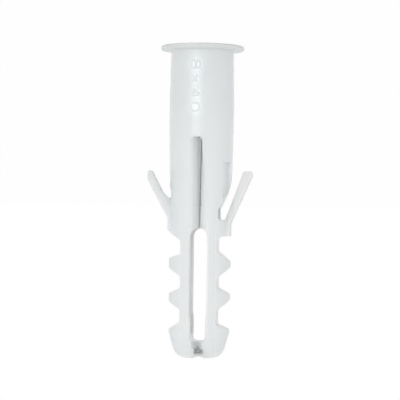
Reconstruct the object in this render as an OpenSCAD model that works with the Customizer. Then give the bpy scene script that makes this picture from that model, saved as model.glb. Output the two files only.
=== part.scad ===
// Universal wall plug, moulded in one piece, for a drilled 8 mm hole.
// It stands on its collar: z runs from the collar's outer face at 0 to the tip.
// The two springy wings lie along X. The grooves and the gap between the legs
// look along Y, and the side at -Y is the front.
// The outline along X is one profile carried along Y and trimmed to a turned
// body, which is how the two halves of the mould give the plug its shape.
// Sizes whose names end in _a belong to the side at -X, those in _b to +X.

/* [Overall] */
// Length from the collar's outer face to the tip
plug_length = 40; // [38:0.5:44]
// Diameter of the barrel under the collar and at its shoulder
barrel_d = 8; // [7.6:0.1:8.4]
// How far the upper barrel swells out of that diameter on each side
barrel_swell = 0.15; // [0.02:0.01:0.2]
// Length of the swollen stretch, from the collar's outer face
swell_length = 17; // [14:0.5:18]

/* [Collar] */
// Diameter of the collar
collar_d = 10.7; // [9.8:0.1:12]
// Thickness of the collar, whose rim is rounded
collar_t = 0.6; // [0.5:0.05:0.9]
// Fillet between the collar and the barrel
collar_fillet = 0.15; // [0.05:0.05:0.3]

/* [Screw channel] */
// Diameter of the wide screw bore under the collar
bore_d = 5.2; // [4.6:0.1:5.6]
// Depth of the wide screw bore
bore_depth = 8; // [6:0.5:9]
// Chamfer round the mouth of the screw bore
bore_chamfer = 0.3; // [0.1:0.05:0.5]
// Length of the cone that leads to the narrow channel
bore_cone = 4; // [3:0.5:5]
// Diameter of the narrow channel that the screw cuts into
channel_d = 3; // [2.4:0.1:3.4]

/* [Grooves] */
// Distance from the collar's outer face to the start of the grooves
groove_start = 11.8; // [10:0.1:13]
// Distance from the middle of the grooves to their lip at -X, before it is rounded
groove_lip_a = 0.74; // [0.6:0.02:1]
// Distance from the middle of the grooves to their lip at +X, before it is rounded
groove_lip_b = 0.96; // [0.8:0.02:1.1]
// Distance from the middle of the grooves to their side at -X where they start
groove_start_w = 0.34; // [0.2:0.02:0.5]
// Depth of the grooves under the barrel's surface
groove_depth = 2.1; // [1.6:0.1:2.3]
// Rounding of the groove's lips
lip_r = 0.9; // [0.3:0.05:1]
// How much shallower the grooves run toward their start, in degrees
groove_run = 0.5; // [0.1:0.1:1]
// Rounding of the corners where the grooves start, at +X and at -X
groove_start_r = [1.2, 0.4]; // [0.3:0.05:1.3]
// Width of the crack that splits the barrel at the bottom of the grooves
crack_w = 0.15; // [0.1:0.01:0.3]
// How far the crack lies off the middle, toward -X
crack_shift = 0.1; // [0:0.01:0.2]
// Lean of the crack, in degrees
crack_lean = 0.9; // [0:0.1:1.5]

/* [Gap between the legs] */
// Distance from the collar's outer face to the top of the gap
gap_start = 23.4; // [22.6:0.1:24]
// Width of the gap over most of its length and at the bridge
gap_w = [2.2, 1.92]; // [1.6:0.02:2.4]
// Length of the narrower stretch of the gap before the bridge
gap_narrow_length = 3.8; // [2:0.1:5]
// How far the gap lies off the middle, toward -X
gap_shift = 0.06; // [0:0.01:0.1]
// Rounding of the gap's corners at the bridge, at +X and at -X
gap_end_r = [0.35, 0.75]; // [0.1:0.05:0.8]
// Length of the bridge that joins the legs at the tip
bridge_length = 2.15; // [1.8:0.05:2.8]
// How far the grooves run on into the bridge
bridge_groove = 0.85; // [0.5:0.05:1.2]

/* [Shoulder and waist] */
// Distance from the collar's outer face to the barrel's shoulder
shoulder_z = 24.4; // [24.3:0.1:25]
// Slope of the shoulder at -X, in degrees
shoulder_slope_a = 4; // [0:1:20]
// Slope of the shoulder at +X, in degrees
shoulder_slope_b = 34; // [20:1:40]
// Width of the legs between the teeth, over both of them
waist_w = 4.56; // [4.3:0.02:5.2]
// Fillet where teeth and shoulder meet the waist
waist_fillet = 0.35; // [0.1:0.05:0.5]

/* [Teeth] */
// Number of teeth on each leg, without the barb
tooth_count = 2; // [1:1:2]
// Distance from tooth to tooth
tooth_pitch = 4.43; // [4.3:0.01:4.8]
// Thickness of the teeth half way up their flanks, from the barb up to the collar
tooth_t = [1.8, 2]; // [1.6:0.02:2.4]
// Slopes at -X of the flanks on the collar's side, in degrees: the barb and then the teeth up to the collar
rise_a = [20, 26, 38]; // [15:1:45]
// Slopes at +X of the flanks on the collar's side, in degrees: the barb and then the teeth up to the collar
rise_b = [33, 25, 17]; // [15:1:45]
// Slope of the tooth flanks on the tip's side at -X, in degrees
fall_a = 39; // [30:1:50]
// Slope of the tooth flanks on the tip's side at +X, in degrees
fall_b = 32; // [30:1:50]
// Rounding of the tooth crests
crest_r = 0.5; // [0.1:0.05:0.5]
// How much slimmer the plug is at the barb than at the shoulder, on each side
leg_taper = 0.08; // [0:0.02:0.2]

/* [Barb and tip] */
// Distance from the tip to the middle of the barb's flank
barb_length = 4.15; // [3.8:0.05:4.6]
// How much nearer to the tip the barb's flank is at -X
barb_shift_a = 0.2; // [0:0.05:0.3]
// Length of the barb's straight rim
barb_rim = 0.8; // [0.2:0.1:1]
// Diameter of the tip's cone where it would reach the end face
tip_d = 5.9; // [5:0.1:6.4]
// Rounding between the cone and the end face
tip_r = 1.7; // [0.6:0.1:1.9]
// Width of the notch across the end face
tip_notch_w = 1.4; // [1:0.1:2]
// Depth of the notch across the end face
tip_notch_depth = 0.3; // [0.1:0.05:0.4]
// Width of the pocket in the front of the bridge
tip_pocket_w = 1.12; // [0.7:0.01:1.3]
// Height of the pocket in the front of the bridge
tip_pocket_h = 0.6; // [0.4:0.05:0.7]
// Distance from the end face to that pocket
tip_pocket_wall = 0.66; // [0.6:0.02:0.8]
// How far that pocket and the notch lie off the middle, toward -X
tip_shift = 0.18; // [0:0.01:0.3]

/* [Wings] */
// Distance from the collar's outer face to the ends of the wings
wing_end = 16.05; // [15.6:0.05:16.6]
// Width of the wings at their outer face
wing_w = 4.3; // [3.6:0.1:4.8]
// Land along the wing's outer edges, before the bevel that makes the inner face narrower
wing_land = 0.15; // [0.1:0.05:0.4]
// Rounding of the corners of the wings
wing_corner_r = 0.2; // [0.05:0.05:0.3]
// Distance from the axis to the outer corner of the wing at -X
wing_reach_a = 6.6; // [6:0.1:7]
// Length of the upright stretch below that corner
wing_corner_a = 0.6; // [0.4:0.05:1.2]
// Lean of the wing at -X, in degrees
wing_lean_a = 23.9; // [20:0.1:27]
// Thickness of the wing at -X across its end and at its hinge
wing_t_a = [1.22, 0.72]; // [0.6:0.02:1.4]
// Distance from the axis to the flat pad that the wing at -X hinges on
wing_pad_a = 3.9; // [3.8:0.02:4.2]
// Web in the angle between the wing at -X and the barrel
wing_web_a = 0.2; // [0.1:0.05:0.4]
// Distance from the axis to the outer corner of the wing at +X
wing_reach_b = 6.7; // [6:0.1:7]
// Length of the upright stretch below that corner
wing_corner_b = 1.2; // [0.6:0.05:1.3]
// Lean of the wing at +X, in degrees
wing_lean_b = 28.2; // [25:0.1:30]
// Thickness of the wing at +X across its end and at its hinge
wing_t_b = [0.9, 0.72]; // [0.6:0.02:1.4]
// Distance from the axis to the flat pad that the wing at +X hinges on
wing_pad_b = 4.06; // [3.8:0.02:4.2]
// Web in the angle between the wing at +X and the barrel
wing_web_b = 0.7; // [0.4:0.05:0.8]

/* [Slits and pockets behind the wings] */
// Distance from the collar's outer face to the bottom of the slit at -X
slit_end_a = 22.3; // [21.8:0.1:22.4]
// Distance from the axis to the inner wall of the slit at -X
slit_floor_a = 2.44; // [2.2:0.02:2.8]
// Distance from the collar's outer face to the foot of the slope that leads into that slit
slit_foot_a = 20.85; // [20.4:0.05:21.2]
// Corner where that slope leaves the barrel: distances from the axis and from the collar's outer face
slit_lip_a = [3.84, 18.4]; // [3.7:0.02:18.6]
// Rounding of that corner
slit_lip_r_a = 7; // [2:0.5:7.5]
// Distance from the collar's outer face to the bottom of the slit at +X
slit_end_b = 19.5; // [19:0.1:20]
// Distance from the axis to the inner wall of the slit at +X
slit_floor_b = 3.68; // [3.5:0.02:3.8]
// Distance from the collar's outer face to the foot of the slope that leads into that slit
slit_foot_b = 18.75; // [18.4:0.05:18.9]
// Corner where that slope leaves the barrel: distances from the axis and from the collar's outer face
slit_lip_b = [3.95, 18]; // [3.9:0.01:18.1]
// Rounding of that corner
slit_lip_r_b = 0.8; // [0.4:0.1:1]
// Distance from the collar's outer face to the pockets that take the wings
pocket_start = 14.95; // [14.5:0.05:15.5]
// Distance from the foot of the slit's slope to the end of the pocket
pocket_clear = 1.2; // [0.8:0.1:1.6]
// Distance from the axis to the pocket's open edge
pocket_floor = 2.95; // [2.8:0.05:3.2]
// Slant of the pocket's floor, in degrees
pocket_slant = 12; // [4:1:14]

/* [Hidden] */
$fn = 96;

// Steps in a rounded corner of a profile
corner_steps = 6;
// Steps along the swollen stretch of the barrel
swell_steps = 12;
// Extra length of a cutter beyond what it cuts
over = 1;
// Depth by which a crest stays under the turned body, so that it ends in a narrow land
crest_land = 0.04;

barrel_r = barrel_d / 2;
leg_r = barrel_r - leg_taper;
waist_x = waist_w / 2;
// Half way up a tooth's flank
flank_x = (waist_x + barrel_r) / 2;
// Outside everything that a profile along X may cut
outside = barrel_r + 2;
gap_end = plug_length - bridge_length;
groove_end = gap_end + bridge_groove;
barb_z = plug_length - barb_length;
// Distances from the axis plane to the groove's bottom, and to the plane its lips are rounded to
groove_floor_y = barrel_r - groove_depth;
lip_y = barrel_r - 0.05;
pad_end = shoulder_z - 0.12;

// Unit vector along v
function unit(v) = v / norm(v);

// Angle from a to b, the short way round
function turn(a, b) = let (d = b - a) d > 180 ? d - 360 : d < -180 ? d + 360 : d;

// The corner at p between before and after, as an arc of radius r
function corner(before, p, after, r) =
    let (
        to_before = unit(before - p),
        to_after = unit(after - p),
        half = acos(to_before * to_after) / 2,
        centre = p + unit(to_before + to_after) * (r / sin(half)),
        first = p + to_before * (r / tan(half)) - centre,
        last = p + to_after * (r / tan(half)) - centre,
        a0 = atan2(first[1], first[0]),
        sweep = turn(a0, atan2(last[1], last[0]))
    )
    [for (i = [0:corner_steps])
        centre + r * [cos(a0 + sweep * i / corner_steps), sin(a0 + sweep * i / corner_steps)]];

// An outline whose points are [x, y, radius of the corner there]
function rounded(points) =
    let (n = len(points))
    [for (i = [0:n - 1])
        let (
            before = points[(i + n - 1) % n],
            p = points[i],
            after = points[(i + 1) % n]
        )
        each (p[2] == 0
            ? [[p[0], p[1]]]
            : corner([before[0], before[1]], [p[0], p[1]], [after[0], after[1]], p[2]))];

// Radius of the barrel at height z along its swollen stretch
function swollen_r(z) = barrel_r + barrel_swell * sin(180 * z / swell_length);

// The profile that the plug is turned from, with the collar at its foot
module turned_body() {
    rotate_extrude()
        polygon(rounded(concat(
            [
                [0, 0, 0],
                [collar_d / 2, 0, collar_t * 0.45],
                [collar_d / 2, collar_t, collar_t * 0.45],
                [swollen_r(collar_t), collar_t, collar_fillet],
            ],
            [for (i = [1:swell_steps])
                let (z = collar_t + (swell_length - collar_t) * i / swell_steps)
                [swollen_r(z), z, 0]],
            [
                [barrel_r, shoulder_z, 0],
                [leg_r, barb_z, 0],
                [leg_r, barb_z + barb_rim, 0.3],
                [tip_d / 2, plug_length, tip_r],
                [0, plug_length, 0],
            ]
        )));
}

// One flank through the height z half way up it, as its two ends at x0 and x1
function flank(z, slope, x0, x1, r0, r1) = [
    [x0, z + (x0 - flank_x) * tan(slope), r0],
    [x1, z + (x1 - flank_x) * tan(slope), r1],
];

// Outline of one side from its top to the tip: shoulder, teeth and the barb's flank
function side_points(shoulder_slope, rise, fall, barb_shift) =
    let (crest_x = leg_r - crest_land)
    rounded(concat(
        [[outside, -over, 0]],
        flank(shoulder_z, -shoulder_slope, outside, waist_x, 0, waist_fillet),
        [for (i = [tooth_count:-1:1])
            let (
                z = barb_z - tooth_pitch * i,
                top_x = crest_x + leg_taper * (i + 1) / (tooth_count + 1)
            )
            each concat(
                flank(z, rise[i], waist_x, top_x, waist_fillet, crest_r),
                flank(z + tooth_t[i - 1], -fall, top_x, waist_x, crest_r, waist_fillet)
            )],
        flank(barb_z + barb_shift, rise[0], waist_x, crest_x, waist_fillet, crest_r / 2),
        [[crest_x, plug_length + over, 0]]
    ));

// The points of an outline in reverse order and mirrored, to close it on the other side
function mirrored(points) = [for (i = [len(points) - 1:-1:0]) [-points[i][0], points[i][1]]];

// Carries a profile drawn in X and Z along Y, from y0 to y1
module along_y(y0, y1) {
    translate([0, y1, 0])
        rotate([90, 0, 0])
            linear_extrude(y1 - y0)
                children();
}

// Both sides of the outline along X
module side_outline() {
    along_y(-collar_d, collar_d)
        polygon(concat(
            side_points(shoulder_slope_b, rise_b, fall_b, 0),
            mirrored(side_points(shoulder_slope_a, rise_a, fall_a, barb_shift_a))
        ));
}

// Bore for the screw, narrowing to the channel between the legs
module screw_channel() {
    rotate_extrude()
        polygon([
            [0, -over],
            [bore_d / 2 + bore_chamfer + over, -over],
            [bore_d / 2, bore_chamfer],
            [bore_d / 2, bore_depth],
            [channel_d / 2, bore_depth + bore_cone],
            [channel_d / 2, gap_end - channel_d / 2],
            [0, gap_end - over / 2],
        ]);
}

// Half of the groove's section, from its middle out: [distance from the middle, distance from y = 0]
// The line beyond the lip follows the barrel's surface just outside it.
function groove_half(lip_x) = rounded([
    [crack_w / 2 + 0.03, groove_floor_y, 0],
    [lip_x, lip_y, lip_r],
    [lip_x + 1.1, lip_y - 0.3, 0],
    [lip_x + 1.1, barrel_r + over, 0],
]);

// The groove seen from the front: its side at -X leans in toward the start
module groove_outline() {
    edge_a = groove_lip_a + 0.7 * lip_r;
    edge_b = groove_lip_b + 0.7 * lip_r;
    polygon(rounded([
        [edge_b, groove_start, groove_start_r[0]],
        [-groove_start_w, groove_start, groove_start_r[1]],
        [-edge_a, gap_start + over, 0],
        [-edge_a, groove_end, edge_a * 0.8],
        [edge_b, groove_end, edge_b * 0.8],
    ]));
}

// Groove down the front of the barrel
module groove() {
    half_a = groove_half(groove_lip_a);
    half_b = groove_half(groove_lip_b);
    intersection() {
        translate([0, 0, gap_start])
            rotate([-groove_run, 0, 0])
                translate([0, 0, groove_start - gap_start - over])
                    linear_extrude(groove_end - groove_start + 2 * over)
                        polygon(concat(
                            [for (p = half_b) [p[0], -p[1]]],
                            [for (i = [len(half_a) - 1:-1:0]) [-half_a[i][0], -half_a[i][1]]]
                        ));
        along_y(-barrel_r - 2 * over, 0)
            groove_outline();
    }
}

// Crack that joins the bottom of the grooves to the screw channel, front and back
module crack() {
    top = groove_start + groove_start_r[1];
    height = gap_start + gap_w[0] / 2 - top;
    translate([-crack_shift, 0, top + height / 2])
        rotate([0, crack_lean, 0])
            cube([crack_w, 2 * (groove_floor_y + 0.6), height], center = true);
}

// Gap between the legs, open from front to back
module leg_gap() {
    narrow_z = gap_end - gap_narrow_length;
    narrowed_z = narrow_z + 5 * (gap_w[0] - gap_w[1]);
    translate([-gap_shift, 0, 0])
        along_y(-collar_d, collar_d)
            polygon(rounded([
                [gap_w[0] / 2, gap_start, gap_w[0] * 0.49],
                [gap_w[0] / 2, narrow_z, 0],
                [gap_w[1] / 2, narrowed_z, 0],
                [gap_w[1] / 2, gap_end, gap_end_r[0]],
                [-gap_w[1] / 2, gap_end, gap_end_r[1]],
                [-gap_w[1] / 2, narrowed_z, 0],
                [-gap_w[0] / 2, narrow_z, 0],
                [-gap_w[0] / 2, gap_start, gap_w[0] * 0.49],
            ]));
}

// Notch across the end face, and the small pocket in the front of the bridge
module tip_cuts() {
    notch_r = (pow(tip_notch_w / 2, 2) + pow(tip_notch_depth, 2)) / (2 * tip_notch_depth);
    pocket_z = plug_length - tip_pocket_wall - tip_pocket_h;
    translate([-tip_shift, 0, plug_length - tip_notch_depth + notch_r])
        rotate([90, 0, 0])
            cylinder(r = notch_r, h = barrel_d + 2 * over, center = true);
    translate([-tip_shift - tip_pocket_w / 2, -barrel_r - over, pocket_z])
        cube([tip_pocket_w, barrel_r + over, tip_pocket_h]);
}

// Distance from the axis to a wing's outer face at height z
function wing_outer_x(z, reach, corner, lean) = reach - (z - wing_end - corner) * tan(lean);

// Height at which a wing's outer face comes down to its pad
function wing_root_z(reach, corner, lean, pad) = wing_end + corner + (reach - pad) / tan(lean);

// Distance from the axis to a wing's inner face at height z
function wing_inner_x(z, reach, corner, lean, t, pad) =
    let (
        root_z = wing_root_z(reach, corner, lean, pad),
        share = (z - wing_end) / (root_z - wing_end)
    )
    wing_outer_x(z, reach, corner, lean) - (t[0] + (t[1] - t[0]) * share) / cos(lean);

// Bar whose section is a wing's, outer face at x = 0: bevelled at 45 degrees toward the inside
module bevelled_bar(width, length) {
    depth = width / 2 - 0.4;
    linear_extrude(length)
        polygon([
            [over, width / 2],
            [-wing_land, width / 2],
            [-depth, width / 2 - depth + wing_land],
            [-depth, -width / 2 + depth - wing_land],
            [-wing_land, -width / 2],
            [over, -width / 2],
        ]);
}

// A wing with the pad that it hinges on, drawn on the side of +X
module wing(reach, corner, lean, t, pad, crotch, web, shoulder_slope) {
    root_z = wing_root_z(reach, corner, lean, pad);
    sunk_x = waist_x + 0.3;
    web_x = wing_inner_x(crotch - web, reach, corner, lean, t, pad);
    // Where the outer face would meet the shoulder. A wide wing gets there before it comes down to its pad.
    shoulder_x = (reach - (pad_end + flank_x * tan(shoulder_slope) - wing_end - corner) * tan(lean))
        / (1 - tan(lean) * tan(shoulder_slope));
    has_pad = shoulder_x < pad;
    foot_x = has_pad ? pad : shoulder_x;
    intersection() {
        along_y(-wing_w, wing_w)
            polygon(rounded(concat(
                [
                    [wing_inner_x(wing_end, reach, corner, lean, t, pad), wing_end, wing_corner_r],
                    [reach, wing_end, wing_corner_r],
                    [reach, wing_end + corner, wing_corner_r],
                ],
                has_pad ? [[pad, root_z, 1]] : [],
                [
                    [foot_x, pad_end - (foot_x - flank_x) * tan(shoulder_slope), wing_corner_r],
                    [sunk_x, pad_end - (sunk_x - flank_x) * tan(shoulder_slope), 0],
                    [sunk_x, crotch, 0],
                    [web_x - web, crotch, 0.1],
                    [web_x, crotch - web, 0.5],
                ]
            )));
        union() {
            translate([reach, 0, wing_end + corner])
                rotate([0, -lean, 0])
                    translate([0, 0, -corner - 2 * over])
                        bevelled_bar(wing_w, (root_z - wing_end - corner) / cos(lean) + corner + 2 * over + 0.15);
            if (has_pad)
                translate([pad, 0, root_z - 0.15])
                    bevelled_bar(wing_w - 0.1, pad_end - root_z + over);
        }
    }
}

// Slit between a wing and the barrel, drawn on the side of +X and cut down to the height z1
module slit(wing_x, z1, floor_x, foot_z, lip, lip_r) {
    along_y(-collar_d, collar_d)
        polygon(rounded([
            [outside, wing_end - over, 0],
            [barrel_r + 0.2, wing_end - 2.5, 0],
            [lip[0], lip[1], lip_r],
            [floor_x, foot_z, 0.2],
            [floor_x, z1, 0.3],
            [wing_x, z1, 0.3],
            [wing_x + 2.5, wing_end, 0],
            [outside, wing_end, 0],
        ]));
}

// Pocket that takes a folded wing, drawn on the side of +X and open toward -Y
module pocket(z1) {
    front_y = -sqrt(pow(barrel_r, 2) - pow(pocket_floor, 2));
    far_x = pocket_floor - front_y * tan(pocket_slant);
    translate([0, 0, pocket_start])
        linear_extrude(z1 - pocket_start)
            polygon([
                [pocket_floor - over * tan(pocket_slant), front_y - over],
                [far_x, 0],
                [outside, 0],
                [outside, front_y - over],
            ]);
}

// The turned body trimmed to the outline, hollowed and split
module plug_body() {
    difference() {
        intersection() {
            turned_body();
            union() {
                side_outline();
                cylinder(d = collar_d + over, h = collar_t + over);
            }
        }
        screw_channel();
        groove();
        mirror([0, 1, 0])
            groove();
        crack();
        leg_gap();
        tip_cuts();
        // The wing itself closes the foot of the slit at +X, so this cut runs on into its pad
        slit(barrel_r + 0.5, slit_end_b + 0.3, slit_floor_b, slit_foot_b, slit_lip_b, slit_lip_r_b);
        mirror([0, 1, 0])
            pocket(slit_foot_b - pocket_clear);
        mirror([1, 0, 0]) {
            slit(wing_inner_x(slit_end_a, wing_reach_a, wing_corner_a, wing_lean_a, wing_t_a, wing_pad_a),
                slit_end_a, slit_floor_a, slit_foot_a, slit_lip_a, slit_lip_r_a);
            pocket(slit_foot_a - pocket_clear);
        }
    }
}

// Both wings
module wings() {
    wing(wing_reach_b, wing_corner_b, wing_lean_b, wing_t_b, wing_pad_b,
        slit_end_b, wing_web_b, shoulder_slope_b);
    mirror([1, 0, 0])
        wing(wing_reach_a, wing_corner_a, wing_lean_a, wing_t_a, wing_pad_a,
            slit_end_a + 0.5, wing_web_a, shoulder_slope_a);
}

module wall_plug() {
    color([0.92, 0.93, 0.93])
        union() {
            plug_body();
            wings();
        }
}

wall_plug();
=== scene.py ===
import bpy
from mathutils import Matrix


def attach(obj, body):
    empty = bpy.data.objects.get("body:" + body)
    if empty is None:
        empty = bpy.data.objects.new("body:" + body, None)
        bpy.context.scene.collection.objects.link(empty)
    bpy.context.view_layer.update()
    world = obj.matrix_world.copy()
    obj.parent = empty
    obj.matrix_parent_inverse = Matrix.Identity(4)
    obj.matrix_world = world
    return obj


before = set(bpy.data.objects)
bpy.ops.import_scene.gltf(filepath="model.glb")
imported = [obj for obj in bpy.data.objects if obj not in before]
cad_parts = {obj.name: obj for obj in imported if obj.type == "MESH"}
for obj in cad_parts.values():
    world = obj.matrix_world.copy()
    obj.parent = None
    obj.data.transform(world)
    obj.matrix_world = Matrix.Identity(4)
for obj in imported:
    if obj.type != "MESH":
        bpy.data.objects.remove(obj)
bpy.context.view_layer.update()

import math

import bpy
import numpy as np
from mathutils import Matrix, Vector

# Camera
# The photograph shows the plug with its collar up, and here it stands on the
# collar, so the camera is turned half round about its own line of sight.
# It looks at the front of the plug from a little to the side of -X.
PHOTO_SIDE_DEG = 4.2
PHOTO_ROLL_DEG = 0.8
EYE_DISTANCE = 0.250
EYE_HEIGHT = 0.024
AIM = Vector((0.00009, 0.0, 0.01977))
PIXELS_PER_METRE = 7780
FRAME_PIXELS = 400
SENSOR_MM = 36

side = math.radians(PHOTO_SIDE_DEG)
eye = Vector((-EYE_DISTANCE * math.sin(side), -EYE_DISTANCE * math.cos(side), EYE_HEIGHT))
sight = (AIM - eye).normalized()
level_right = sight.cross(Vector((0, 0, -1))).normalized()
level_up = level_right.cross(sight)
roll = math.radians(PHOTO_ROLL_DEG)
up = level_up * math.cos(roll) - level_right * math.sin(roll)
right = sight.cross(up)

camera_data = bpy.data.cameras.new("camera")
camera_data.sensor_width = SENSOR_MM
camera_data.lens = SENSOR_MM * PIXELS_PER_METRE * (AIM - eye).length / FRAME_PIXELS
camera_data.clip_start = 0.01
camera_data.clip_end = 20
camera = bpy.data.objects.new("camera", camera_data)
turned = Matrix((right, up, -sight)).transposed().to_4x4()
camera.matrix_world = Matrix.Translation(eye) @ turned
bpy.context.scene.collection.objects.link(camera)
bpy.context.scene.camera = camera
bpy.context.scene.view_settings.view_transform = "Standard"


# Floor
# The plug stands on a wide sheet of coated white paper, which the camera sees
# as the white background. It still takes the plug's faint shadow. Seen in the
# plug's gloss, the sheet glows in a streak toward the lamp: a painted reflection
# of the lamp, which draws the highlight on the plug's barrel.
PAPER_WIDTH = 3.0
PAPER_COLOUR = (0.94, 0.94, 0.94)
PAPER_DARKER = 0.985
PAPER_FIBRE_LENGTH = 0.0025
PAPER_ROUGHNESS = 0.9
PAPER_SPECULAR = 0.1
PAPER_SEEN_WHITE = 0.97
STREAK_SIDE_DEG = 15.9
STREAK_HALF_DEG = 15
STREAK_FADE_DEG = 4
PAINTED_STREAK_STRENGTH = 2.8


def give(tree, socket, value):
    """Gives a socket another node's output, or a number or colour of its own."""
    if isinstance(value, bpy.types.NodeSocket):
        tree.links.new(value, socket)
    else:
        socket.default_value = value


def calculate(tree, operation, *values):
    """The result of a math operation on one to three values."""
    step = tree.nodes.new("ShaderNodeMath")
    step.operation = operation
    for socket, value in zip(step.inputs, values):
        give(tree, socket, value)
    return step.outputs[0]


def ramp(tree, value, start, stop, low=0, high=1, course="LINEAR"):
    """A value that runs from low, where the given value is at start, to high at stop, and no further."""
    step = tree.nodes.new("ShaderNodeMapRange")
    step.interpolation_type = course
    give(tree, step.inputs["Value"], value)
    give(tree, step.inputs["From Min"], start)
    give(tree, step.inputs["From Max"], stop)
    give(tree, step.inputs["To Min"], low)
    give(tree, step.inputs["To Max"], high)
    return step.outputs["Result"]


def noise(tree, place, length, detail):
    """Cloudy noise from 0 to 1, whose patches are about as wide as the length."""
    cloud = tree.nodes.new("ShaderNodeTexNoise")
    cloud.inputs["Scale"].default_value = 1 / length
    cloud.inputs["Detail"].default_value = detail
    tree.links.new(place, cloud.inputs["Vector"])
    return cloud.outputs["Fac"]


def blended(tree, share, first, second):
    """A colour that goes from the first to the second as the share goes from 0 to 1."""
    blend = tree.nodes.new("ShaderNodeMix")
    blend.data_type = "RGBA"
    give(tree, blend.inputs["Factor"], share)
    give(tree, blend.inputs["A"], first)
    give(tree, blend.inputs["B"], second)
    return blend.outputs["Result"]


def shaded(colour, share):
    """A colour times a share, which makes it darker or paler, with an alpha of 1."""
    return [share * part for part in colour] + [1]


def seen_directly(tree):
    """A value of 1 for rays from the eye, and for what gloss and glass show of the surroundings."""
    path = tree.nodes.new("ShaderNodeLightPath")
    camera_or_gloss = calculate(
        tree, "MAXIMUM", path.outputs["Is Camera Ray"], path.outputs["Is Glossy Ray"])
    return calculate(tree, "MAXIMUM", camera_or_gloss, path.outputs["Is Transmission Ray"])


white_paper = bpy.data.materials.new("white_paper")
white_paper.use_nodes = True
paper = white_paper.node_tree
paper_shader = paper.nodes["Principled BSDF"]
paper_shader.inputs["Roughness"].default_value = PAPER_ROUGHNESS
paper_shader.inputs["Specular IOR Level"].default_value = PAPER_SPECULAR
paper_place = paper.nodes.new("ShaderNodeTexCoord").outputs["Object"]
paper_fibre = noise(paper, paper_place, PAPER_FIBRE_LENGTH, detail=3)
paper_tone = blended(paper, paper_fibre, shaded(PAPER_COLOUR, PAPER_DARKER), shaded(PAPER_COLOUR, 1))
give(paper, paper_shader.inputs["Base Color"], paper_tone)

paper_parts = paper.nodes.new("ShaderNodeSeparateXYZ")
give(paper, paper_parts.inputs[0], paper_place)
forward = calculate(paper, "MULTIPLY", paper_parts.outputs["Y"], -1)
bearing = calculate(paper, "ARCTAN2", paper_parts.outputs["X"], forward)
off_streak = calculate(paper, "SUBTRACT", bearing, math.radians(STREAK_SIDE_DEG))
# Painted reflection: in the plug's gloss the paper glows up to this strength in a streak toward the
# lamp.
painted_streak = ramp(
    paper, calculate(paper, "ABSOLUTE", off_streak),
    math.radians(STREAK_HALF_DEG - STREAK_FADE_DEG), math.radians(STREAK_HALF_DEG + STREAK_FADE_DEG),
    PAINTED_STREAK_STRENGTH, 1, "SMOOTHSTEP")
in_gloss = paper.nodes.new("ShaderNodeLightPath").outputs["Is Glossy Ray"]
paper_glow = paper.nodes.new("ShaderNodeEmission")
give(paper, paper_glow.inputs["Strength"], ramp(paper, in_gloss, 0, 1, 1, painted_streak))

paper_mix = paper.nodes.new("ShaderNodeMixShader")
give(paper, paper_mix.inputs[0], calculate(paper, "MULTIPLY", seen_directly(paper), PAPER_SEEN_WHITE))
give(paper, paper_mix.inputs[1], paper_shader.outputs[0])
give(paper, paper_mix.inputs[2], paper_glow.outputs[0])
give(paper, paper.nodes["Material Output"].inputs["Surface"], paper_mix.outputs[0])

paper_edge = PAPER_WIDTH / 2
floor_mesh = bpy.data.meshes.new("floor")
floor_mesh.from_pydata(
    [(-paper_edge, -paper_edge, 0), (paper_edge, -paper_edge, 0),
     (paper_edge, paper_edge, 0), (-paper_edge, paper_edge, 0)],
    [], [(0, 1, 2, 3)])
floor_mesh.materials.append(white_paper)
floor = bpy.data.objects.new("floor", floor_mesh)
bpy.context.scene.collection.objects.link(floor)


# Light
# A white room, brightest in front at the photograph's right and behind the plug
# and darker overhead, and one soft lamp low in front, at the left of the camera.
ROOM_LIGHT_LEVEL = 0.68
ROOM_OVERHEAD_SHARE = 0.8
ROOM_BACK_LIGHT = 0.5
ROOM_FRONT_LIGHT = 0.47
ROOM_FRONT_SIDE = (-0.35, -0.94, 0)
ROOM_FRONT_NARROWNESS = 3
LAMP_PLACE = (0.12, -0.42, 0.09)
LAMP_AIM = (0, 0, 0.02)
LAMP_SIZE = (0.22, 0.16)
LAMP_WATTS = 0.3

world = bpy.data.worlds.new("white_room")
bpy.context.scene.world = world
world.use_nodes = True
room = world.node_tree
room_direction = room.nodes.new("ShaderNodeTexCoord").outputs["Generated"]
room_front = room.nodes.new("ShaderNodeVectorMath")
room_front.operation = "DOT_PRODUCT"
room_front.inputs[1].default_value = ROOM_FRONT_SIDE
give(room, room_front.inputs[0], room_direction)
room_ahead = calculate(room, "MAXIMUM", room_front.outputs["Value"], 0)
room_lobe = calculate(room, "POWER", room_ahead, ROOM_FRONT_NARROWNESS)
room_level = calculate(room, "MULTIPLY_ADD", room_lobe, ROOM_FRONT_LIGHT, ROOM_LIGHT_LEVEL)
room_parts = room.nodes.new("ShaderNodeSeparateXYZ")
give(room, room_parts.inputs[0], room_direction)
room_overhead = ramp(room, room_parts.outputs["Z"], 0, 1, 1, ROOM_OVERHEAD_SHARE)
room_behind = ramp(room, room_parts.outputs["Y"], 0, 1, 0, ROOM_BACK_LIGHT)
room_light = room.nodes["Background"]
room_light.inputs["Color"].default_value = (1, 1, 1, 1)
room_strength = calculate(room, "MULTIPLY_ADD", room_level, room_overhead, room_behind)
give(room, room_light.inputs["Strength"], room_strength)
room_white = room.nodes.new("ShaderNodeBackground")
room_white.inputs["Color"].default_value = (1, 1, 1, 1)
room_mix = room.nodes.new("ShaderNodeMixShader")
give(room, room_mix.inputs[0], seen_directly(room))
give(room, room_mix.inputs[1], room_light.outputs[0])
give(room, room_mix.inputs[2], room_white.outputs[0])
give(room, room.nodes["World Output"].inputs["Surface"], room_mix.outputs[0])

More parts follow.
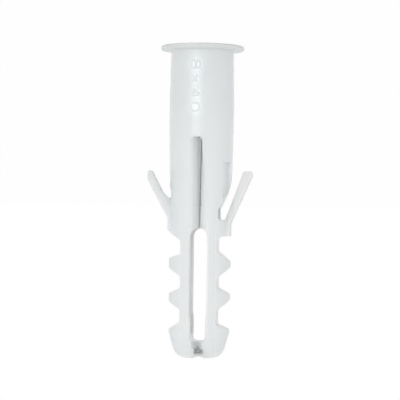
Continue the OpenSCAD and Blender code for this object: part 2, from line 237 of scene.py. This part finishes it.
lamp_data = bpy.data.lights.new("front_lamp", "AREA")
lamp_data.shape = "RECTANGLE"
lamp_data.size = LAMP_SIZE[0]
lamp_data.size_y = LAMP_SIZE[1]
lamp_data.energy = LAMP_WATTS
lamp = bpy.data.objects.new("front_lamp", lamp_data)
toward_plug = (Vector(LAMP_AIM) - Vector(LAMP_PLACE)).normalized()
lamp_turn = toward_plug.to_track_quat("-Z", "Y").to_matrix().to_4x4()
lamp.matrix_world = Matrix.Translation(LAMP_PLACE) @ lamp_turn
bpy.context.scene.collection.objects.link(lamp)


# Wall plug
# One piece of white plastic, injection moulded and slightly translucent, with
# a smooth, fairly glossy skin. It shows the faint waviness that the plastic
# takes as it shrinks, and the fine marks of the polished mould.
PLASTIC_COLOUR = (0.855, 0.885, 0.89)
PLASTIC_PALER = 1.01
PLASTIC_DARKER = 0.985
PLASTIC_CLOUD_LENGTH = 1 / 260
PLASTIC_SMOOTHEST = 0.2
PLASTIC_ROUGHEST = 0.25
PLASTIC_IOR = 1.5
PLASTIC_TRANSLUCENCY = 0.9
LIGHT_REACH = 0.002
LIGHT_REACH_BY_COLOUR = (1, 0.95, 0.9)
PAINTED_INNER_GLOW = 0.8
SHRINK_WAVE_LENGTH = 0.0025
SHRINK_WAVE_HEIGHT = 0.000008
POLISH_MARK_WIDTH = 0.0002
POLISH_MARK_HEIGHT = 0.00000012
# The marks run along the plug, and this is their width as a share of their length.
POLISH_MARK_STRETCH = 0.06
# The mark noise at which the skin has its least roughness, and the one at which it has its most
POLISH_SPREAD = (0.3, 0.7)
# The collar, the wings and the sides of the legs are duller. The collar is painted
# greyer, as painted shade, and the wing at -X and the walls of the groove and the
# gap are painted paler, as painted light for the light that comes through the plastic.
DULL_ROUGHNESS = 0.6
COLLAR_PAINTED_SHADE = 0.86
WING_PAINTED_LIGHT = (0.965, 0.985, 0.985, 1)
INNER_WALL_PAINTED_LIGHT = (0.98, 0.995, 0.995, 1)
# Distances to the side at which the wings begin, and at which the legs turn dull
WING_START = 0.0042
WING_FADE = 0.0005
LEG_SIDE = (0.002, 0.003)
# Distances from the axis at which the walls of the groove and of the gap turn to painted light, going
# inward
GROOVE_WALL_RADIUS = (0.0034, 0.0026)
GAP_WALL_RADIUS = (0.0039, 0.0036)
# Heights at which the collar ends, the dull legs start, and the painted light on the walls of the gap
# starts and ends
COLLAR_TOP = 0.00065
COLLAR_FADE = 0.0002
LEG_START = 0.0205
LEG_FADE = 0.0006
GAP_WALL_START = 0.0234
GAP_WALL_END = 0.0375
GAP_WALL_FADE = 0.0015


def skin_group():
    """The plastic's skin: its tone, its roughness and the normal of its bumps.

    Each is noise in real lengths. Masks in real lengths pick out the collar, the
    wings, the sides of the legs, and the walls of the groove and the gap. The tone
    has painted shade on the collar, and painted light on the wing at -X and on the walls.
    """
    skin = bpy.data.node_groups.new("moulded_skin", "ShaderNodeTree")
    for name in ("Smoothest", "Roughest", "Wave Height", "Mark Height"):
        skin.interface.new_socket(name, in_out="INPUT", socket_type="NodeSocketFloat")
    skin.interface.new_socket("Tone", in_out="OUTPUT", socket_type="NodeSocketColor")
    skin.interface.new_socket("Roughness", in_out="OUTPUT", socket_type="NodeSocketFloat")
    skin.interface.new_socket("Normal", in_out="OUTPUT", socket_type="NodeSocketVector")
    given = skin.nodes.new("NodeGroupInput")
    result = skin.nodes.new("NodeGroupOutput")
    place = skin.nodes.new("ShaderNodeTexCoord").outputs["Object"]
    parts = skin.nodes.new("ShaderNodeSeparateXYZ")
    give(skin, parts.inputs[0], place)
    x = parts.outputs["X"]
    y = parts.outputs["Y"]
    z = parts.outputs["Z"]

    y_squared = calculate(skin, "MULTIPLY", y, y)
    from_axis = calculate(skin, "SQRT", calculate(skin, "MULTIPLY_ADD", x, x, y_squared))
    to_side = calculate(skin, "ABSOLUTE", x)
    above_collar = ramp(skin, z, COLLAR_TOP, COLLAR_TOP + COLLAR_FADE)
    in_groove = ramp(skin, from_axis, *GROOVE_WALL_RADIUS)
    in_gap = calculate(
        skin, "MULTIPLY", ramp(skin, from_axis, *GAP_WALL_RADIUS),
        calculate(skin, "GREATER_THAN", z, GAP_WALL_START))
    before_tip = ramp(skin, z, GAP_WALL_END, GAP_WALL_END - GAP_WALL_FADE)
    inner_wall = calculate(skin, "MULTIPLY", calculate(skin, "MAXIMUM", in_groove, in_gap), before_tip)

    cloud = noise(skin, place, PLASTIC_CLOUD_LENGTH, detail=3)
    tone = blended(
        skin, cloud, shaded(PLASTIC_COLOUR, PLASTIC_DARKER), shaded(PLASTIC_COLOUR, PLASTIC_PALER))
    # Painted light: the wing at -X is made paler, for the light that comes through the thin plastic.
    tone = blended(skin, ramp(skin, x, -WING_START, -WING_START - WING_FADE), tone, WING_PAINTED_LIGHT)
    # Painted shade: the collar's tone is made greyer.
    tone = blended(skin, above_collar, shaded(PLASTIC_COLOUR, COLLAR_PAINTED_SHADE), tone)
    # Painted light: the walls of the groove and the gap are made paler.
    tone = blended(skin, inner_wall, tone, INNER_WALL_PAINTED_LIGHT)
    give(skin, result.inputs["Tone"], tone)

    stretched = skin.nodes.new("ShaderNodeMapping")
    stretched.inputs["Scale"].default_value = (1, 1, POLISH_MARK_STRETCH)
    give(skin, stretched.inputs["Vector"], place)
    polish = noise(skin, stretched.outputs["Vector"], POLISH_MARK_WIDTH, detail=4)
    gloss = ramp(skin, polish, *POLISH_SPREAD, given.outputs["Smoothest"], given.outputs["Roughest"])
    wing_side = ramp(skin, to_side, WING_START, WING_START + WING_FADE)
    leg_wall = calculate(skin, "MAXIMUM", ramp(skin, to_side, *LEG_SIDE), inner_wall)
    leg_side = calculate(skin, "MULTIPLY", leg_wall, ramp(skin, z, LEG_START, LEG_START + LEG_FADE))
    dull_side = calculate(skin, "MAXIMUM", wing_side, leg_side)
    glossy_share = calculate(skin, "SUBTRACT", above_collar, dull_side)
    give(skin, result.inputs["Roughness"], ramp(skin, glossy_share, 0, 1, DULL_ROUGHNESS, gloss))

    wave = skin.nodes.new("ShaderNodeBump")
    give(skin, wave.inputs["Distance"], given.outputs["Wave Height"])
    give(skin, wave.inputs["Height"], noise(skin, place, SHRINK_WAVE_LENGTH, detail=1))
    marks = skin.nodes.new("ShaderNodeBump")
    give(skin, marks.inputs["Distance"], given.outputs["Mark Height"])
    give(skin, marks.inputs["Height"], polish)
    give(skin, marks.inputs["Normal"], wave.outputs["Normal"])
    give(skin, result.inputs["Normal"], marks.outputs["Normal"])
    return skin


moulded_skin = skin_group()


def moulded_plastic(name, translucency, smoothest, roughest):
    """White moulded plastic with the moulded skin, in the translucency and gloss given.

    Seen from inside, it glows with a painted light in the plastic's colour, which
    stands for the light that comes through it, so that a piece laid on another one
    doesn't darken it.
    """
    material = bpy.data.materials.new(name)
    material.use_nodes = True
    plastic = material.node_tree
    shader = plastic.nodes["Principled BSDF"]
    shader.inputs["IOR"].default_value = PLASTIC_IOR
    shader.inputs["Subsurface Weight"].default_value = translucency
    shader.inputs["Subsurface Radius"].default_value = LIGHT_REACH_BY_COLOUR
    shader.inputs["Subsurface Scale"].default_value = LIGHT_REACH
    skin = plastic.nodes.new("ShaderNodeGroup")
    skin.node_tree = moulded_skin
    skin.inputs["Smoothest"].default_value = smoothest
    skin.inputs["Roughest"].default_value = roughest
    skin.inputs["Wave Height"].default_value = SHRINK_WAVE_HEIGHT
    skin.inputs["Mark Height"].default_value = POLISH_MARK_HEIGHT
    give(plastic, shader.inputs["Base Color"], skin.outputs["Tone"])
    give(plastic, shader.inputs["Roughness"], skin.outputs["Roughness"])
    give(plastic, shader.inputs["Normal"], skin.outputs["Normal"])
    # Painted light: back faces glow at a fixed strength in the plastic's colour.
    from_inside = plastic.nodes.new("ShaderNodeNewGeometry").outputs["Backfacing"]
    glow = blended(plastic, from_inside, (0, 0, 0, 1), shaded(PLASTIC_COLOUR, PAINTED_INNER_GLOW))
    give(plastic, shader.inputs["Emission Color"], glow)
    shader.inputs["Emission Strength"].default_value = 1
    return material


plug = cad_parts["wall_plug"]
plug.data.materials.clear()
plug.data.materials.append(
    moulded_plastic("white_plastic", PLASTIC_TRANSLUCENCY, PLASTIC_SMOOTHEST, PLASTIC_ROUGHEST))


# Raised numbers
# The size of the plug stands on the front of the barrel in plain numbers,
# moulded with it as low rounded ridges. They read from the collar to the tip.
# Each stroke is a ridge of its own, half sunk in the barrel.
NUMBER_HEIGHT = 0.00112
NUMBER_WIDTH = 0.00118
NUMBER_START_Z = 0.00205
NUMBER_STEP = 0.0018
NUMBER_SIDE_X = 0.00058
NUMBER_SMOOTHEST = 0.22
NUMBER_ROUGHEST = 0.28
# The ridges are so thin that only the plug under them is translucent.
NUMBER_TRANSLUCENCY = 0
RIDGE_HALF_WIDTH = 0.00015
RIDGE_HEIGHT = 0.00014
RIDGE_END_T = 0.98
RIDGE_POINTS = 48
RIDGE_SECTION_POINTS = 16
# The strip of the barrel, down its front, whose radius is read from the plug's own mesh
STRIP_HALF_WIDTH = 0.0015
STRIP_LEAST_RADIUS = 0.0038
STRIP_START_Z = 0.001
STRIP_END_Z = 0.01405

plug_points = np.empty(len(plug.data.vertices) * 3)
plug.data.vertices.foreach_get("co", plug_points)
plug_x, plug_y, plug_z = plug_points.reshape(-1, 3).T
point_radius = np.hypot(plug_x, plug_y)
on_barrel = (
    (plug_y < 0) & (np.abs(plug_x) < STRIP_HALF_WIDTH) & (point_radius > STRIP_LEAST_RADIUS)
    & (plug_z > STRIP_START_Z) & (plug_z < STRIP_END_Z))
ring_z, ring_index = np.unique(np.round(plug_z[on_barrel], 6), return_index=True)
ring_radius = point_radius[on_barrel][ring_index]


def line_stroke(x0, y0, x1, y1):
    """A straight stroke from one point to the other, in parts of a number's width and height."""
    t = np.linspace(0, 1, RIDGE_POINTS)
    return np.stack([x0 + (x1 - x0) * t, y0 + (y1 - y0) * t], axis=1)


def round_stroke(middle_x, middle_y, radius_x, radius_y):
    """A closed ellipse: its middle plus its two radii times the cosine and sine of the turn."""
    turn = np.linspace(0, 2 * np.pi, RIDGE_POINTS, endpoint=False)
    return np.stack([middle_x + radius_x * np.cos(turn), middle_y + radius_y * np.sin(turn)], axis=1)


# Each stroke has its points and whether it is closed.
STROKES = {
    "8": [(round_stroke(0.5, 0.27, 0.46, 0.27), True), (round_stroke(0.5, 0.77, 0.38, 0.23), True)],
    "x": [(line_stroke(0.15, 0.15, 0.85, 0.75), False), (line_stroke(0.15, 0.75, 0.85, 0.15), False)],
    "4": [(line_stroke(0.72, 0, 0.72, 1), False),
          (line_stroke(0.72, 1, 0.02, 0.32), False),
          (line_stroke(0.02, 0.32, 1, 0.32), False)],
    "0": [(round_stroke(0.5, 0.5, 0.46, 0.5), True)],
}


def ridge(stroke, closed, start_z):
    """Points, side faces and end faces of a ridge along a stroke on the barrel.

    Its section is an ellipse, laid across the stroke and raised along the
    barrel's radius. At the ends of an open stroke the section shrinks by the
    root of 1 - t * t, which rounds them. There t goes from 0 at half a ridge's
    width before the end to nearly 1 at the end.
    """
    along = start_z + NUMBER_WIDTH * stroke[:, 0]
    across = NUMBER_HEIGHT * (stroke[:, 1] - 0.5)
    if closed:
        run_along = np.roll(along, -1) - np.roll(along, 1)
        run_across = np.roll(across, -1) - np.roll(across, 1)
        shrink = np.ones(RIDGE_POINTS)
    else:
        run_along = np.gradient(along)
        run_across = np.gradient(across)
        length = math.hypot(along[-1] - along[0], across[-1] - across[0])
        from_end = np.minimum(np.arange(RIDGE_POINTS), np.arange(RIDGE_POINTS)[::-1])
        t = np.clip(1 - from_end * length / (RIDGE_POINTS - 1) / RIDGE_HALF_WIDTH, 0, RIDGE_END_T)
        shrink = np.sqrt(1 - t * t)
    run = np.stack([run_along, run_across], axis=1) / np.hypot(run_along, run_across)[:, None]
    turn = np.linspace(0, 2 * np.pi, RIDGE_SECTION_POINTS, endpoint=False)
    offset = RIDGE_HALF_WIDTH * shrink[:, None] * np.cos(turn)[None, :]
    lift = RIDGE_HEIGHT * shrink[:, None] * np.sin(turn)[None, :]
    z = along[:, None] - run[:, 1:] * offset
    around = across[:, None] + run[:, :1] * offset
    radius = np.interp(z, ring_z, ring_radius)
    angle = (around - NUMBER_SIDE_X) / radius
    points = np.stack([-(radius + lift) * np.sin(angle), -(radius + lift) * np.cos(angle), z], axis=2)

    row = np.arange(RIDGE_POINTS if closed else RIDGE_POINTS - 1)[:, None]
    step = np.arange(RIDGE_SECTION_POINTS)[None, :]
    beside = (step + 1) % RIDGE_SECTION_POINTS
    first = row * RIDGE_SECTION_POINTS
    second = (row + 1) % RIDGE_POINTS * RIDGE_SECTION_POINTS
    corners = [first + step, first + beside, second + beside, second + step]
    sides = np.stack([part.ravel() for part in corners], axis=1)
    section = np.arange(RIDGE_SECTION_POINTS)
    last = (RIDGE_POINTS - 1) * RIDGE_SECTION_POINTS
    ends = np.stack([section[::-1], last + section])
    return points.reshape(-1, 3), sides, ends[:0] if closed else ends


number_points = []
number_faces = []
number_z = NUMBER_START_Z
for sign in "8x40":
    for stroke, closed in STROKES[sign]:
        stroke_points, sides, ends = ridge(stroke, closed, number_z)
        count = len(number_points) * RIDGE_POINTS * RIDGE_SECTION_POINTS
        number_points.append(stroke_points)
        number_faces += (sides + count).tolist() + (ends + count).tolist()
    number_z += NUMBER_STEP

number_mesh = bpy.data.meshes.new("size_numbers")
number_mesh.from_pydata(np.concatenate(number_points).tolist(), [], number_faces)
number_mesh.shade_smooth()
number_mesh.materials.append(
    moulded_plastic("white_plastic_numbers", NUMBER_TRANSLUCENCY, NUMBER_SMOOTHEST, NUMBER_ROUGHEST))
size_numbers = bpy.data.objects.new("size_numbers", number_mesh)
bpy.context.scene.collection.objects.link(size_numbers)
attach(size_numbers, "root")
